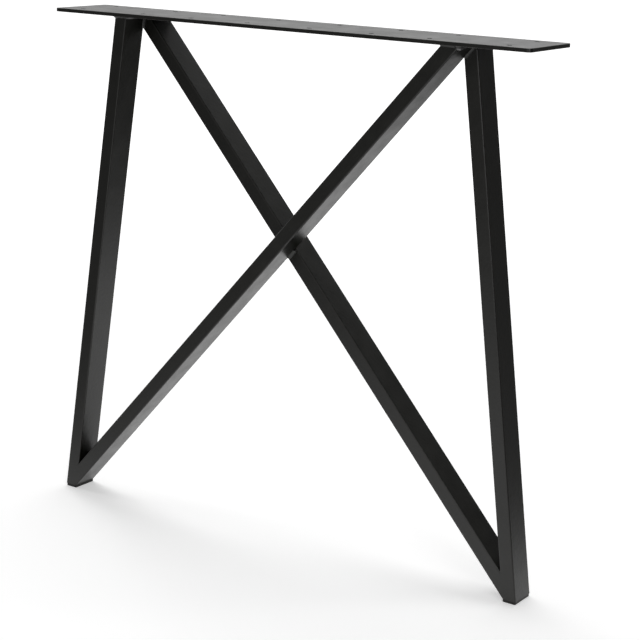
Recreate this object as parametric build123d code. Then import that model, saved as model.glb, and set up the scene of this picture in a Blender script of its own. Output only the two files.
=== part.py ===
from build123d import *
from math import sqrt
import os

# Steel table leg: two V frames of rectangular tube, back to back under one plate.
# The front V has its foot on the left, and the rear V is the same V turned round the vertical axis.
# The frame: floor at z = 0, the two frames touch on the plane y = 0, the plate runs along x. All in mm.

# The leg as a whole
leg_height = 720  # floor to the top of the plate

# Rectangular tube
tube_width = 20  # seen from the front
tube_depth = 40  # front to back
tube_wall = 1.5
tube_inner_radius = 0.25

# Top plate
plate_length = 758
plate_thickness = 5
plate_overhang = 13  # beyond the front and rear bars
bar_end_inset = 101.9  # from the plate's end to the bars' outer edge
foot_end_inset = 3.3  # from the plate's end to the foot's outer end
plate_corner_radius = 6
plate_edge_round = 0.6

# Screw holes, in two rows along the plate
hole_diameter = 7
hole_row_inset = 18  # from the plate's long edge
hole_end_inset = 38  # outermost holes, from the plate's end
hole_bar_inset = 46.6  # holes beside the bars, from the bars' outer edge
hole_middle_offset = 145  # from the plate's middle
hole_inner_offset = 50  # from the plate's middle

# Foot plates
foot_length = 19.5  # of the foot that the two tubes make
foot_thickness = 4
foot_inset = 0.5  # the plate's outer end and sides, in from the tubes
foot_edge_round = 0.6

# Weld beads
weld_leg = 5  # bars to the plate
seam_leg = 5  # bar to bar
weld_toe = 0.5  # blunt edge of a bead

# Worked out from the sizes above
bar_foot = foot_thickness
bar_top = leg_height - plate_thickness
rise = bar_top - bar_foot
top_span = plate_length - 2 * bar_end_inset
foot_span = plate_length - 2 * foot_end_inset
tube_corner_radius = tube_inner_radius + tube_wall
plate_depth = 2 * (tube_depth + plate_overhang)
saw_allowance = tube_width + tube_depth
half_turn = Rot(0, 0, 180)


class Bar:
    """A straight tube of the front V, set by its outer edge at the foot and under the plate."""

    def __init__(self, edge_at_foot, edge_at_top, inward):
        self.slope = (edge_at_top - edge_at_foot) / rise
        self.stretch = sqrt(1 + self.slope**2)
        self.level_width = tube_width * self.stretch
        self.axis_at_foot = edge_at_foot + inward * self.level_width / 2
        self.direction = Vector(self.slope, 0, 1).normalized()
        self.right_normal = Vector(1, 0, -self.slope).normalized()

    def axis(self, z):
        return self.axis_at_foot + self.slope * (z - bar_foot)

    def right(self, z):
        return self.axis(z) + self.level_width / 2

    def section_plane(self):
        start = Vector(self.axis(bar_foot), -tube_depth / 2, bar_foot) - self.direction * saw_allowance
        return Plane(origin=start, x_dir=self.right_normal, z_dir=self.direction)

    def sawn_length(self):
        return rise * self.stretch + 2 * saw_allowance


post = Bar(-foot_span / 2, -top_span / 2, inward=1)
diagonal = Bar(foot_length - foot_span / 2, top_span / 2, inward=-1)


def saw_to_height(blank):
    """Cuts a bar level, on the foot plate below and under the top plate above."""
    blank = split(blank, bisect_by=Plane.XY.offset(bar_foot), keep=Keep.TOP)
    return split(blank, bisect_by=Plane.XY.offset(bar_top), keep=Keep.BOTTOM)


def mitre_plane():
    """The plane that halves the corner between post and diagonal at the foot."""
    meeting_rise = (diagonal.axis_at_foot - post.axis_at_foot) / (post.slope - diagonal.slope)
    meeting_height = bar_foot + meeting_rise
    halving = post.direction + diagonal.direction
    return Plane(
        origin=(post.axis(meeting_height), 0, meeting_height),
        z_dir=(halving.Z, 0, -halving.X),
    )


def tube(bar, mitre_side):
    """A hollow bar of the front V, mitred at the foot and sawn level at both ends."""
    outer = RectangleRounded(tube_width, tube_depth, tube_corner_radius)
    bore_width = tube_width - 2 * tube_wall
    bore_depth = tube_depth - 2 * tube_wall
    bore = RectangleRounded(bore_width, bore_depth, tube_inner_radius)
    blank = extrude(bar.section_plane() * (outer - bore), bar.sawn_length())
    return split(saw_to_height(blank), bisect_by=mitre_plane(), keep=mitre_side)


def top_plate():
    outline = RectangleRounded(plate_length, plate_depth, plate_corner_radius)
    slab = Pos(0, 0, bar_top) * extrude(outline, plate_thickness)
    rims = slab.faces().sort_by(Axis.Z)[0].edges() + slab.faces().sort_by(Axis.Z)[-1].edges()
    slab = fillet(rims, plate_edge_round)
    stations = (
        plate_length / 2 - hole_end_inset,
        top_span / 2 - hole_bar_inset,
        hole_middle_offset,
        hole_inner_offset,
    )
    row = plate_depth / 2 - hole_row_inset
    drill = extrude(Circle(hole_diameter / 2), plate_thickness)
    for station in stations:
        for x in (-station, station):
            for y in (-row, row):
                slab -= Pos(x, y, bar_top) * drill
    return slab


def foot_plate():
    """The plate that closes the front V's foot, flush with the slanted tube's underside."""
    outline = RectangleRounded(
        foot_length - foot_inset,
        tube_depth - 2 * foot_inset,
        tube_corner_radius,
    )
    middle = (foot_length + foot_inset - foot_span) / 2
    slab = Pos(middle, -tube_depth / 2, 0) * extrude(outline, foot_thickness)
    return fillet(slab.faces().sort_by(Axis.Z)[0].edges(), foot_edge_round)


def bar_core(bar):
    """A bar filled solid, with square corners on the side where the two frames touch."""
    touching_half = Pos(0, tube_depth / 4) * Rectangle(tube_width, tube_depth / 2)
    section = RectangleRounded(tube_width, tube_depth, tube_corner_radius) + touching_half
    return extrude(bar.section_plane() * section, bar.sawn_length())


def weld_collar(bar):
    """The bead round a bar's top before the bar is cut out: wide at the plate, narrow below."""
    rims = []
    for z, reach in ((bar_top - weld_leg, weld_toe), (bar_top, weld_leg)):
        rim = RectangleRounded(
            bar.level_width + 2 * reach,
            tube_depth + 2 * reach,
            tube_corner_radius + reach,
        )
        rims.append(Pos(bar.axis(z), -tube_depth / 2, z) * rim)
    return loft(rims)


def seam_bead(bar, low, high):
    """A bead along a front bar's right side, in the corner with the rear frame's face."""
    section = Polygon(
        (0, 0),
        (0, -seam_leg),
        (weld_toe, -seam_leg),
        (seam_leg, -weld_toe),
        (seam_leg, 0),
        align=None,
    )
    start = Plane(origin=(bar.right(low), 0, low), x_dir=bar.right_normal, z_dir=bar.direction)
    return extrude(start * section, (high - low) * bar.stretch)


def top_weld():
    """The bead at the left end of the plate, round the front post and the rear diagonal."""
    collars = weld_collar(post) + half_turn * weld_collar(diagonal)
    collars -= bar_core(post) + half_turn * bar_core(diagonal)
    # Below this height the post's inner side and the other frame's diagonal are clear of each other.
    parting_rise = -(post.right(bar_foot) + diagonal.right(bar_foot)) / (post.slope + diagonal.slope)
    seam_end = bar_foot + parting_rise + tube_corner_radius
    seams = seam_bead(post, seam_end, bar_top) + half_turn * seam_bead(diagonal, seam_end, bar_top)
    bead = collars + seams
    return split(bead, bisect_by=Plane.XY.offset(bar_top), keep=Keep.BOTTOM)


def crossing_weld():
    """The bead under the front diagonal where it crosses the face of the rear diagonal."""
    low = bar_foot - diagonal.right(bar_foot) / diagonal.slope
    high = bar_foot - diagonal.axis_at_foot / diagonal.slope
    return seam_bead(diagonal, low + tube_corner_radius, high - tube_corner_radius)


front_nodes = {
    "post": tube(post, Keep.BOTTOM),
    "diagonal": tube(diagonal, Keep.TOP),
    "foot_plate": foot_plate(),
    "crossing_weld": crossing_weld(),
}
nodes = {"top_plate": top_plate()}
for name, solid in front_nodes.items():
    nodes["front_" + name] = solid
    nodes["rear_" + name] = half_turn * solid
nodes["left_top_weld"] = top_weld()
nodes["right_top_weld"] = half_turn * nodes["left_top_weld"]

os.makedirs("parts", exist_ok=True)
for name, solid in nodes.items():
    export_step(solid, f"parts/{name}.step")
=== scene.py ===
import math

import bpy
from mathutils import Matrix, Vector


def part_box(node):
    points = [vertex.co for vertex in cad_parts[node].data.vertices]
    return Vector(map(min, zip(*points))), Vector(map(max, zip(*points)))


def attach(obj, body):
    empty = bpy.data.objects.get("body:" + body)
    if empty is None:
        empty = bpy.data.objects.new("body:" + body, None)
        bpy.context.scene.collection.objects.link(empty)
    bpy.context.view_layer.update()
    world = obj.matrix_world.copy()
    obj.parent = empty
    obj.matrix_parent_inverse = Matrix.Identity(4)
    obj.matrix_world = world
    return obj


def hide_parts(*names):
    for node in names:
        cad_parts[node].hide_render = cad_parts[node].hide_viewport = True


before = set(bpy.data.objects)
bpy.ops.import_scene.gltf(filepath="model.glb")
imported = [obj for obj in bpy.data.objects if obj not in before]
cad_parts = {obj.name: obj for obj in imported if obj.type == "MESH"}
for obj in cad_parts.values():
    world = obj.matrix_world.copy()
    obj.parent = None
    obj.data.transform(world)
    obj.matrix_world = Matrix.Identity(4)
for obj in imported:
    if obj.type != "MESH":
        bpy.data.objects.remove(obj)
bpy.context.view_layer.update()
print("frame loaded:", len(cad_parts), "nodes")


# satin black powder coat, on every part of the leg

coat = {
    "black": (0.0026, 0.0026, 0.0014, 1),
    "haze": (0.0052, 0.0052, 0.0032, 1),  # paler patches
    "cloudSize": 45.0,  # noise scale of the patches
    "cloudDetail": 4.0,
    "cloudRange": (0.3, 0.7),
    "smooth": 0.30,  # roughness, from here
    "dull": 0.38,  # to here
    "ior": 1.5,
    "peelSize": 260.0,  # orange peel
    "peelDetail": 1.0,
    "peelHeight": 0.00012,
    "grainSize": 1400.0,  # powder grain
    "grainDetail": 2.0,
    "grainHeight": 0.00002,
}
footShadeFinish = {**coat, "ior": 1.38, "smooth": 0.42, "dull": 0.50}  # painted shade: a less reflective copy of the coat, so the foot plates look darker, as where they mirror the shaded floor at their feet
mixColours = {"first": 6, "second": 7, "result": 2}  # a Mix node's colour sockets


def noiseTexture(nodes, links, place, scale, detail):
    noise = nodes.new("ShaderNodeTexNoise")
    noise.inputs["Scale"].default_value = scale
    noise.inputs["Detail"].default_value = detail
    links.new(place.outputs["Object"], noise.inputs["Vector"])
    return noise.outputs["Fac"]


def makeCoat(name, finish):
    mat = bpy.data.materials.new(name)
    mat.use_nodes = True
    nodes, links = mat.node_tree.nodes, mat.node_tree.links
    shader = nodes["Principled BSDF"]
    shader.inputs["IOR"].default_value = finish["ior"]
    place = nodes.new("ShaderNodeTexCoord")
    cloud = noiseTexture(nodes, links, place, finish["cloudSize"], finish["cloudDetail"])
    tint = nodes.new("ShaderNodeMix")  # black, a little hazier in patches
    tint.data_type = "RGBA"
    tint.inputs[mixColours["first"]].default_value = finish["black"]
    tint.inputs[mixColours["second"]].default_value = finish["haze"]
    links.new(cloud, tint.inputs["Factor"])
    links.new(tint.outputs[mixColours["result"]], shader.inputs["Base Color"])
    sheen = nodes.new("ShaderNodeMapRange")  # satin, never quite even
    low, high = finish["cloudRange"]
    sheen.inputs["From Min"].default_value = low
    sheen.inputs["From Max"].default_value = high
    sheen.inputs["To Min"].default_value = finish["smooth"]
    sheen.inputs["To Max"].default_value = finish["dull"]
    links.new(cloud, sheen.inputs["Value"])
    links.new(sheen.outputs["Result"], shader.inputs["Roughness"])
    peel = noiseTexture(nodes, links, place, finish["peelSize"], finish["peelDetail"])
    peelBump = nodes.new("ShaderNodeBump")
    peelBump.inputs["Distance"].default_value = finish["peelHeight"]
    links.new(peel, peelBump.inputs["Height"])
    grain = noiseTexture(nodes, links, place, finish["grainSize"], finish["grainDetail"])
    grainBump = nodes.new("ShaderNodeBump")
    grainBump.inputs["Distance"].default_value = finish["grainHeight"]
    links.new(grain, grainBump.inputs["Height"])
    links.new(peelBump.outputs["Normal"], grainBump.inputs["Normal"])
    links.new(grainBump.outputs["Normal"], shader.inputs["Normal"])
    return mat


satinBlack = makeCoat("satinBlackCoat", coat)
# painted shade: the foot plates get the less reflective coat, darker low down near the floor
footShadeBlack = makeCoat("footShadeCoat", footShadeFinish)
for name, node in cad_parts.items():
    node.data.materials.clear()
    node.data.materials.append(footShadeBlack if name.endswith("foot_plate") else satinBlack)
print("coat on the CAD nodes")


# weld beads: a ripple is modelled once, laid along each seam and fused

weld = {
    "ripple": 0.0075,  # radius, large so that the bead's face is nearly flat
    "rippleSides": 24,
    "rippleRings": 14,
    "inset": 0.0025,  # bead's middle, behind the two faces that it joins
    "step": 0.0016,  # from ripple to ripple
    "length": 0.0021,  # half of a ripple, along the seam
    "lean": 16.0,  # degrees
    "cornerRadius": 0.0015,
    "cornerSteps": 5,
    "stopRadius": 0.0083,  # blob where the bead was ended
    "voxel": 0.0005,
    "soften": 0.5,
    "softenTimes": 3,
    "lumpSize": 0.007,
    "lumpHeight": 0.0005,
    "bury": 0.0002,  # into the steel
    "coreAbove": 0.015,  # what is cut out for the bars, up from the plate's underside
    "coreBelow": 0.025,  # and down from it
    "plateBlock": 0.14,  # side of the cube that is cut out for the plate
    "sliver": 0.00001,  # shorter edges are dissolved
    "sharpAngle": 50.0,  # degrees, sharper edges stay sharp
}
bars = {
    "postSlope": 0.1387,  # sideways for each metre up
    "diagonalSlope": 0.8907,
    "diagonalLevel": 0.026783,  # width of the sawn end
    "partZ": 0.6954,  # where the two bars part, under the plate
    "crossLow": 0.4039,  # where a diagonal enters the other one's face
    "crossHigh": 0.4189,  # and leaves it
    "round": 0.00175,  # corner radius
    "roundSteps": 4,
}

lumpTexture = bpy.data.textures.new("weldLumps", "CLOUDS")
lumpTexture.noise_scale = weld["lumpSize"]

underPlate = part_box("top_plate")[0].z
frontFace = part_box("front_post")[0].y
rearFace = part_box("rear_diagonal")[1].y
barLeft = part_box("rear_diagonal")[0].x
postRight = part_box("front_post")[1].x
diagonalRight = barLeft + bars["diagonalLevel"]


def pickOnly(piece):
    bpy.ops.object.select_all(action="DESELECT")
    piece.select_set(True)
    bpy.context.view_layer.objects.active = piece


def openForEdit(piece):
    pickOnly(piece)
    bpy.ops.object.mode_set(mode="EDIT")
    bpy.ops.mesh.select_all(action="SELECT")


def applyModifier(piece, name):
    bpy.context.view_layer.objects.active = piece
    bpy.ops.object.modifier_apply(modifier=name)


def addRipple():
    radius = weld["ripple"]
    bpy.ops.object.select_all(action="DESELECT")
    bpy.ops.mesh.primitive_uv_sphere_add(
        segments=weld["rippleSides"], ring_count=weld["rippleRings"], radius=radius, location=(0, 0, 0)
    )
    ripple = bpy.context.object
    openForEdit(ripple)
    bpy.ops.transform.resize(value=(weld["length"] / radius, 1, 1))
    lean = math.radians(weld["lean"])
    bpy.ops.transform.rotate(value=lean, orient_axis="Y", center_override=(0, 0, 0))
    bpy.ops.object.mode_set(mode="OBJECT")
    return ripple


def closedPath(spots):
    bpy.ops.object.select_all(action="DESELECT")
    bpy.ops.mesh.primitive_circle_add(vertices=len(spots), fill_type="NOTHING", location=(0, 0, 0))
    path = bpy.context.object
    for corner, spot in zip(path.data.vertices, spots):
        corner.co = spot
    openForEdit(path)
    bpy.ops.mesh.bevel(offset=weld["cornerRadius"], segments=weld["cornerSteps"], affect="VERTICES")
    bpy.ops.object.mode_set(mode="OBJECT")
    bpy.ops.object.convert(target="CURVE")
    return bpy.context.object


def straightPath(start, end):
    bpy.ops.object.select_all(action="DESELECT")
    bpy.ops.curve.primitive_bezier_curve_add(location=(0, 0, 0))
    path = bpy.context.object
    for point, spot in zip(path.data.splines[0].bezier_points, (start, end)):
        point.handle_left_type = "VECTOR"
        point.handle_right_type = "VECTOR"
        point.co = spot
    return path


def layBead(path):
    ripple = addRipple()
    row = ripple.modifiers.new("row", "ARRAY")
    row.fit_type = "FIT_CURVE"
    row.curve = path
    row.use_relative_offset = False
    row.use_constant_offset = True
    row.constant_offset_displace = (weld["step"], 0, 0)
    along = ripple.modifiers.new("along", "CURVE")
    along.object = path
    along.deform_axis = "POS_X"
    applyModifier(ripple, "row")
    applyModifier(ripple, "along")
    bpy.data.objects.remove(path)
    return ripple


def fuseBeads(beads, name):
    pickOnly(beads[0])
    for bead in beads:
        bead.select_set(True)
    if len(beads) > 1:
        bpy.ops.object.join()
    bead = bpy.context.object
    bead.name = name
    skin = bead.modifiers.new("skin", "REMESH")
    skin.mode = "VOXEL"
    skin.voxel_size = weld["voxel"]
    applyModifier(bead, "skin")
    soft = bead.modifiers.new("soft", "SMOOTH")
    soft.factor = weld["soften"]
    soft.iterations = weld["softenTimes"]
    applyModifier(bead, "soft")
    lumps = bead.modifiers.new("lumps", "DISPLACE")
    lumps.texture = lumpTexture
    lumps.texture_coords = "LOCAL"
    lumps.strength = weld["lumpHeight"]
    applyModifier(bead, "lumps")
    return bead


def cutOff(piece, place, outward):
    openForEdit(piece)
    bpy.ops.mesh.bisect(plane_co=place, plane_no=outward, use_fill=True, clear_outer=True)
    bpy.ops.object.mode_set(mode="OBJECT")


def seamBead(name, corner, side, face, climb):
    start = corner - (side + face) * weld["inset"]
    bead = fuseBeads([layBead(straightPath(start, start + climb))], name)
    for steel in (side, face):
        cutOff(bead, corner - steel * weld["bury"], -steel)
    return bead


# bars and plate are cut out of the top beads, which leaves thin fillets

def barCore(left, leftSlope, right, rightSlope, front, back):
    bpy.ops.object.select_all(action="DESELECT")
    bpy.ops.mesh.primitive_cube_add(location=(0, 0, 0))
    core = bpy.context.object
    for corner in core.data.vertices:
        climb = weld["coreAbove"] if corner.co.z > 0 else -weld["coreBelow"]
        x = right + rightSlope * climb if corner.co.x > 0 else left + leftSlope * climb
        corner.co = (x, back if corner.co.y > 0 else front, underPlate + climb)
    core.data.update()
    return core


def roundCore(core):
    openForEdit(core)
    bpy.ops.mesh.select_mode(type="EDGE")
    bpy.ops.mesh.select_all(action="DESELECT")
    bpy.ops.object.mode_set(mode="OBJECT")
    for edge in core.data.edges:
        low, high = (core.data.vertices[end].co.z for end in edge.vertices)
        edge.select = low != high  # the four long edges
    bpy.ops.object.mode_set(mode="EDIT")
    bpy.ops.mesh.bevel(offset=bars["round"], segments=bars["roundSteps"])
    bpy.ops.object.mode_set(mode="OBJECT")


def hollowOut(piece, core):
    hole = piece.modifiers.new("hole", "BOOLEAN")
    hole.operation = "DIFFERENCE"
    hole.object = core
    hole.solver = "MANIFOLD"
    applyModifier(piece, "hole")
    bpy.data.objects.remove(core)


def cutBars(piece):
    bury = weld["bury"]
    post = bars["postSlope"]
    diagonal = -bars["diagonalSlope"]
    left = barLeft + bury
    postSide = postRight - bury
    diagonalSide = diagonalRight - bury
    postCore = barCore(left, post, postSide, post, frontFace + bury, -bury)
    roundCore(postCore)
    hollowOut(piece, postCore)
    diagonalCore = barCore(left, diagonal, diagonalSide, diagonal, bury, rearFace - bury)
    roundCore(diagonalCore)
    hollowOut(piece, diagonalCore)
    # the thin web that is left where the two bars touch
    between = barCore(left + bury, diagonal, postSide - bury, post, -2 * bury, 2 * bury)
    hollowOut(piece, between)


def cutPlate(piece):
    block = weld["plateBlock"]
    middle = (barLeft, 0, underPlate + weld["bury"] + block / 2)
    bpy.ops.object.select_all(action="DESELECT")
    bpy.ops.mesh.primitive_cube_add(size=block, location=middle)
    hollowOut(piece, bpy.context.object)


def dropCrumbs(piece, name):
    openForEdit(piece)
    bpy.ops.mesh.quads_convert_to_tris(ngon_method="BEAUTY")
    bpy.ops.mesh.dissolve_degenerate(threshold=weld["sliver"])
    bpy.ops.mesh.select_all(action="SELECT")
    bpy.ops.mesh.separate(type="LOOSE")
    bpy.ops.object.mode_set(mode="OBJECT")
    lumps = sorted(bpy.context.selected_objects, key=lambda lump: len(lump.data.polygons))
    for crumb in lumps[:-1]:
        bpy.data.objects.remove(crumb)
    lumps[-1].name = name
    return lumps[-1]


def topWeld():
    inset = weld["inset"]
    z = underPlate + inset
    ring = [
        (barLeft + inset, rearFace - inset, z),
        (barLeft + inset, frontFace + inset, z),
        (postRight - inset, frontFace + inset, z),
        (postRight - inset, inset, z),
        (diagonalRight - inset, inset, z),
        (diagonalRight - inset, rearFace - inset, z),
    ]
    beads = [layBead(closedPath(ring))]
    drop = underPlate - bars["partZ"] - bars["round"]
    # upright seam between the post's side and the diagonal's front
    side = Vector((1, 0, -bars["postSlope"])).normalized()
    climb = Vector((bars["postSlope"], 0, 1)) * drop
    corner = Vector((postRight, 0, underPlate)) - climb
    beads.append(seamBead("uprightSeam", corner, side, Vector((0, -1, 0)), climb))
    # the same behind, between the diagonal's underside and the post's back
    side = Vector((-1, 0, -bars["diagonalSlope"])).normalized()
    climb = Vector((-bars["diagonalSlope"], 0, 1)) * drop
    corner = Vector((barLeft, 0, underPlate)) - climb
    beads.append(seamBead("rearSeam", corner, side, Vector((0, 1, 0)), climb))
    # the ring was begun and ended at its rear left corner
    bpy.ops.object.select_all(action="DESELECT")
    bpy.ops.mesh.primitive_uv_sphere_add(radius=weld["stopRadius"], location=ring[0])
    stop = bpy.context.object
    bpy.ops.object.transform_apply(location=True, rotation=True, scale=True)
    beads.append(stop)
    piece = fuseBeads(beads, "leftTopBead")
    cutBars(piece)
    cutPlate(piece)
    return dropCrumbs(piece, "leftTopBead")


def crossingWeld():
    side = Vector((1, 0, -bars["diagonalSlope"])).normalized()
    along = Vector((bars["diagonalSlope"], 0, 1))
    corner = Vector((0, 0, bars["crossLow"])) + along * bars["round"]
    climb = along * (bars["crossHigh"] - bars["crossLow"] - 2 * bars["round"])
    return seamBead("frontCrossingBead", corner, side, Vector((0, -1, 0)), climb)


def turnedCopy(piece, name):
    pickOnly(piece)
    bpy.ops.object.duplicate(linked=False)
    twin = bpy.context.object
    twin.name = name
    openForEdit(twin)
    bpy.ops.transform.rotate(value=math.pi, orient_axis="Z", center_override=(0, 0, 0))
    bpy.ops.object.mode_set(mode="OBJECT")
    return twin


def finishBead(piece, node):
    pickOnly(piece)
    bpy.ops.object.shade_smooth_by_angle(angle=math.radians(weld["sharpAngle"]))
    piece.data.materials.clear()
    piece.data.materials.append(satinBlack)
    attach(piece, "root")
    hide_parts(node)
    print(piece.name, len(piece.data.polygons), "faces")


leftTopBead = topWeld()
rightTopBead = turnedCopy(leftTopBead, "rightTopBead")
frontCrossingBead = crossingWeld()
rearCrossingBead = turnedCopy(frontCrossingBead, "rearCrossingBead")
finishBead(leftTopBead, "left_top_weld")
finishBead(rightTopBead, "right_top_weld")
finishBead(frontCrossingBead, "front_crossing_weld")
finishBead(rearCrossingBead, "rear_crossing_weld")
print("weld beads laid")


# camera, where the photograph was taken from

cameraSet = {
    "place": (1.30989, -1.82815, 0.90300),
    "yaw": 35.48,  # degrees
    "pitch": -13.88,
    "roll": 1.47,
    "lens": 95.147,
    "shiftX": 0.04573,
    "shiftY": -0.03306,
    "farthest": 200.0,
}


def addCamera():
    yaw = math.radians(cameraSet["yaw"])
    pitch = math.radians(cameraSet["pitch"])
    roll = math.radians(cameraSet["roll"])
    level = Vector((math.cos(yaw), math.sin(yaw), 0))
    forward = Vector((-math.sin(yaw), math.cos(yaw), 0))
    ahead = forward * math.cos(pitch) + Vector((0, 0, math.sin(pitch)))
    upright = level.cross(ahead)
    side = math.cos(roll) * level + math.sin(roll) * upright
    top = math.cos(roll) * upright - math.sin(roll) * level
    bpy.ops.object.camera_add()
    camera = bpy.context.object
    camera.name = "camera"
    turn = Matrix((side, top, -ahead)).transposed().to_4x4()
    camera.matrix_world = Matrix.Translation(cameraSet["place"]) @ turn
    camera.data.lens = cameraSet["lens"]
    camera.data.shift_x = cameraSet["shiftX"]
    camera.data.shift_y = cameraSet["shiftY"]
    camera.data.clip_end = cameraSet["farthest"]
    bpy.context.scene.camera = camera


addCamera()
bpy.context.scene.view_settings.view_transform = "Standard"
print("camera set")


# floor: white all over to the camera, but the coat mirrors a sheet of paper with darker floor beside
# it, and a strip of painted shade behind the left foot

floorSet = {
    "size": 80.0,
    "paper": 0.85,
    "left": (-0.95, 0.05, 0.27),  # outer edge, inner edge, what is left of the white outside
    "behind": (-0.20, 0.10, 0.0),  # from here back, the paper runs on to the left
    "right": (0.88, 0.175, 0.14),
    "rightSlant": 0.375,
    "front": (-0.35, 0.15, 0.78),
    "shadeStripLeft": (-0.28, -0.38, 0.58),  # painted shade: the mirrored floor darker in a strip from behind the left foot back, standing in for the leg's shadow there
    "shadeStripRight": (-0.25, -0.10, 0.58),
    "shadeStripFront": (0.12, 0.0, 0.0),
    "shadeStripSlant": -0.65,
    "shownInMetal": 0.755,
    "fillNear": 0.42,  # white added for the camera, round the leg
    "fillFar": 1.0,
    "fillReach": (0.6, 3.5),
}


def mapRange(nodes, links, source, fromMin, fromMax, toMin, toMax):
    ramp = nodes.new("ShaderNodeMapRange")
    ramp.interpolation_type = "SMOOTHSTEP"
    ramp.inputs["From Min"].default_value = fromMin
    ramp.inputs["From Max"].default_value = fromMax
    ramp.inputs["To Min"].default_value = toMin
    ramp.inputs["To Max"].default_value = toMax
    links.new(source, ramp.inputs["Value"])
    return ramp.outputs["Result"]


def mathNode(nodes, links, operation, first, second):
    node = nodes.new("ShaderNodeMath")
    node.operation = operation
    links.new(first, node.inputs[0])
    links.new(second, node.inputs[1])
    return node.outputs["Value"]


def scaledBy(nodes, links, source, factor):
    node = nodes.new("ShaderNodeMath")
    node.operation = "MULTIPLY"
    links.new(source, node.inputs[0])
    node.inputs[1].default_value = factor
    return node.outputs["Value"]


def mirroredRay(nodes, links, path):
    glossy = path.outputs["Is Glossy Ray"]
    through = path.outputs["Is Transmission Ray"]
    return mathNode(nodes, links, "ADD", glossy, through)


def edgeRamp(nodes, links, source, edge):
    outer, inner, rest = edge
    if outer < inner:
        return mapRange(nodes, links, source, outer, inner, rest, 1.0)
    return mapRange(nodes, links, source, inner, outer, 1.0, rest)


def slantedPlace(nodes, links, place, slant):
    across = nodes.new("ShaderNodeVectorMath")
    across.operation = "DOT_PRODUCT"
    across.inputs[1].default_value = (1, slant, 0)
    links.new(place, across.inputs[0])
    return across.outputs["Value"]


def mirroredPaper(nodes, links, place):
    split = nodes.new("ShaderNodeSeparateXYZ")
    links.new(place, split.inputs["Vector"])
    x = split.outputs["X"]
    y = split.outputs["Y"]
    left = edgeRamp(nodes, links, x, floorSet["left"])
    behind = edgeRamp(nodes, links, y, floorSet["behind"])
    rightPlace = slantedPlace(nodes, links, place, floorSet["rightSlant"])
    right = edgeRamp(nodes, links, rightPlace, floorSet["right"])
    front = edgeRamp(nodes, links, y, floorSet["front"])
    # painted shade: a darker strip behind the left foot, in the floor that the coat mirrors
    shadeStripPlace = slantedPlace(nodes, links, place, floorSet["shadeStripSlant"])
    shadeStripLeft = edgeRamp(nodes, links, shadeStripPlace, floorSet["shadeStripLeft"])
    shadeStripRight = edgeRamp(nodes, links, shadeStripPlace, floorSet["shadeStripRight"])
    shadeStripFront = edgeRamp(nodes, links, y, floorSet["shadeStripFront"])
    shadeStrip = mathNode(nodes, links, "MAXIMUM", shadeStripLeft, shadeStripRight)
    shadeStrip = mathNode(nodes, links, "MAXIMUM", shadeStrip, shadeStripFront)
    paper = mathNode(nodes, links, "MAXIMUM", left, behind)
    for edge in (right, shadeStrip, front):
        paper = mathNode(nodes, links, "MULTIPLY", paper, edge)
    return paper


def makeFloorPaper():
    mat = bpy.data.materials.new("whitePaperFloor")
    mat.use_nodes = True
    nodes, links = mat.node_tree.nodes, mat.node_tree.links
    nodes.remove(nodes["Principled BSDF"])
    place = nodes.new("ShaderNodeTexCoord").outputs["Object"]
    path = nodes.new("ShaderNodeLightPath")
    toCamera = path.outputs["Is Camera Ray"]
    paper = mirroredPaper(nodes, links, place)
    colour = nodes.new("ShaderNodeMix")
    links.new(toCamera, colour.inputs["Factor"])
    links.new(paper, colour.inputs["A"])
    colour.inputs["B"].default_value = 1.0
    tone = scaledBy(nodes, links, colour.outputs["Result"], floorSet["paper"])
    diffuse = nodes.new("ShaderNodeBsdfDiffuse")
    links.new(tone, diffuse.inputs["Color"])
    away = nodes.new("ShaderNodeVectorMath")
    away.operation = "LENGTH"
    links.new(place, away.inputs[0])
    near, far = floorSet["fillReach"]
    distance = away.outputs["Value"]
    fill = mapRange(nodes, links, distance, near, far, floorSet["fillNear"], floorSet["fillFar"])
    cameraFill = mathNode(nodes, links, "MULTIPLY", fill, toCamera)
    glossFill = mathNode(nodes, links, "MULTIPLY", paper, mirroredRay(nodes, links, path))
    glossFill = scaledBy(nodes, links, glossFill, floorSet["shownInMetal"])
    glow = nodes.new("ShaderNodeEmission")
    links.new(mathNode(nodes, links, "ADD", cameraFill, glossFill), glow.inputs["Strength"])
    both = nodes.new("ShaderNodeAddShader")
    links.new(diffuse.outputs["BSDF"], both.inputs[0])
    links.new(glow.outputs["Emission"], both.inputs[1])
    links.new(both.outputs["Shader"], nodes["Material Output"].inputs["Surface"])
    return mat


bpy.ops.object.select_all(action="DESELECT")
bpy.ops.mesh.primitive_plane_add(size=floorSet["size"], location=(0, 0, 0))
floor = bpy.context.object
floor.name = "floor"
floor.data.materials.append(makeFloorPaper())
print("floor laid")


# soft studio light

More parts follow.
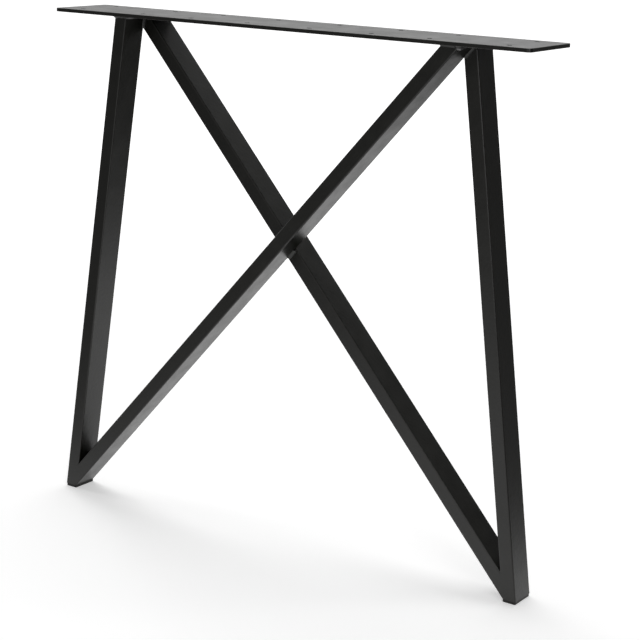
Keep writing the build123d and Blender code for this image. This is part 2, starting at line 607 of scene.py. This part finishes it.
worldSet = {
    "dim": 0.06,  # between the two pale walls
    "backWall": {
        "towards": (-0.75, 0.66, 0.0),
        "ramp": (0.35, 0.56),
        "light": 0.75,
        "shownInMetal": 0.85,
    },
    "frontWall": {
        "towards": (0.30, -0.95, 0.0),
        "ramp": (0.50, 0.90),
        "light": 0.61,
    },
}
topBox = {"place": (-0.3, 0.45, 2.6), "size": (1.6, 1.6), "watts": 36.0, "aim": (-0.2, 0.3, 0.0)}
sideBox = {"place": (2.8, -2.0, 1.5), "size": (1.6, 2.2), "watts": 32.0, "aim": (0.0, 0.0, 0.35)}


def wallRamp(nodes, links, direction, wall, level):
    facing = nodes.new("ShaderNodeVectorMath")
    facing.operation = "DOT_PRODUCT"
    facing.inputs[1].default_value = wall["towards"]
    links.new(direction, facing.inputs[0])
    rampFrom, rampTo = wall["ramp"]
    return mapRange(nodes, links, facing.outputs["Value"], rampFrom, rampTo, worldSet["dim"], level)


def makeWorld():
    world = bpy.data.worlds.new("studio")
    world.use_nodes = True
    nodes, links = world.node_tree.nodes, world.node_tree.links
    direction = nodes.new("ShaderNodeTexCoord").outputs["Generated"]
    path = nodes.new("ShaderNodeLightPath")
    backWall, frontWall = worldSet["backWall"], worldSet["frontWall"]
    back = wallRamp(nodes, links, direction, backWall, backWall["light"])
    front = wallRamp(nodes, links, direction, frontWall, frontWall["light"])
    room = mathNode(nodes, links, "MAXIMUM", back, front)
    pale = wallRamp(nodes, links, direction, backWall, backWall["shownInMetal"])
    shown = mathNode(nodes, links, "MULTIPLY", pale, mirroredRay(nodes, links, path))
    white = mathNode(nodes, links, "MAXIMUM", shown, path.outputs["Is Camera Ray"])
    sky = nodes["Background"]
    sky.inputs["Color"].default_value = (1, 1, 1, 1)
    links.new(mathNode(nodes, links, "MAXIMUM", room, white), sky.inputs["Strength"])
    bpy.context.scene.world = world


def addSoftbox(name, box):
    bpy.ops.object.light_add(type="AREA", location=box["place"])
    lamp = bpy.context.object
    lamp.name = name
    lamp.data.shape = "RECTANGLE"
    lamp.data.size, lamp.data.size_y = box["size"]
    lamp.data.energy = box["watts"]
    beam = Vector(box["aim"]) - Vector(box["place"])
    lamp.rotation_euler = beam.to_track_quat("-Z", "Y").to_euler()
    lamp.visible_camera = False


makeWorld()
addSoftbox("topBox", topBox)
addSoftbox("sideBox", sideBox)
print("lights on")
